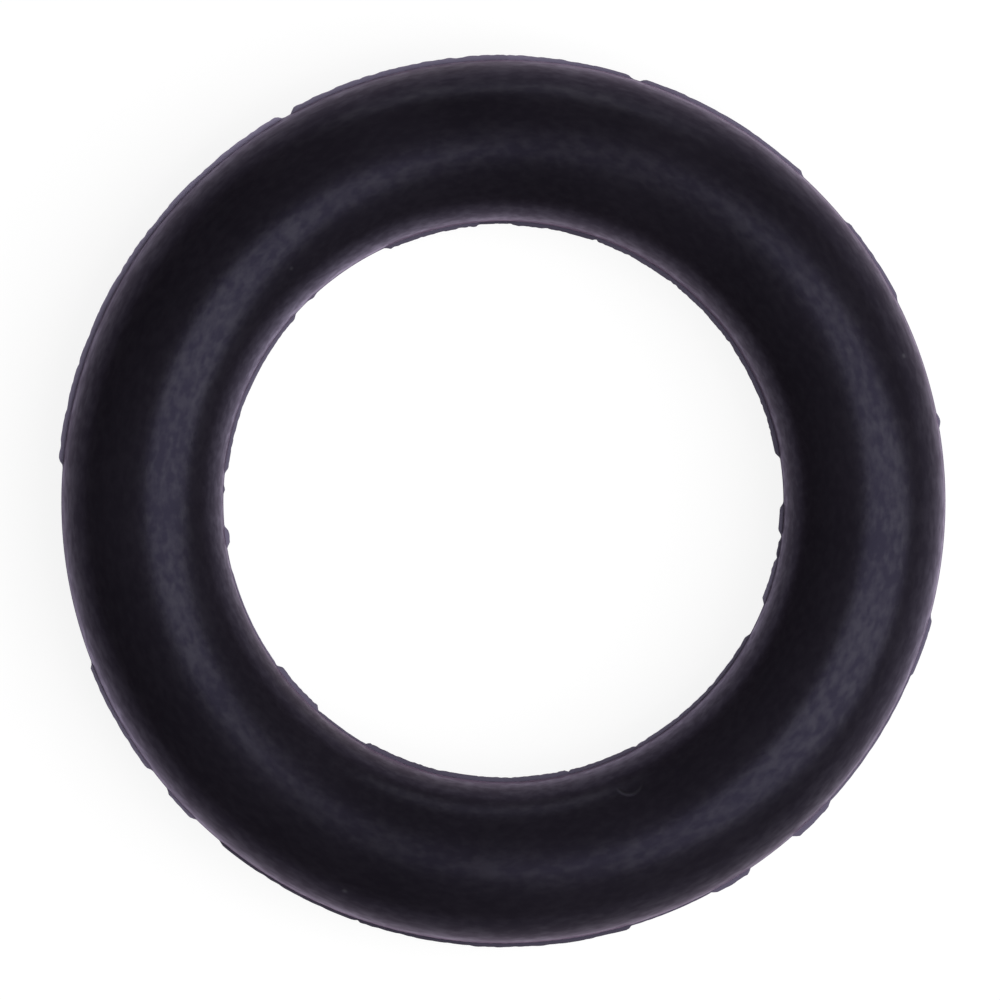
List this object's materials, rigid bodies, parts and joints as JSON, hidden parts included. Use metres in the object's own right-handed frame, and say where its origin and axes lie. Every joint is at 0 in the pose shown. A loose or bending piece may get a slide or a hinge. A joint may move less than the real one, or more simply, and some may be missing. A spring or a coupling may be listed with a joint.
{
  "type": "rubber o-ring",
  "caption": "Moulded rubber o-ring of round section, with torn mould flash along its parting line; seals a rod, piston or face joint.",
  "frame": {"origin": "centre of the ring, on the mould's parting plane halfway up its section", "axes": "+Z along the ring's axis, upwards as the ring lies flat; +X to the right as the ring is seen from above in the picture"},
  "size_m": [0.0194, 0.0196, 0.0036],
  "materials": {
    "rubber": "satin"
  },
  "bodies": {
    "root": {"o_ring": "rubber"}
  },
  "joints": []
}
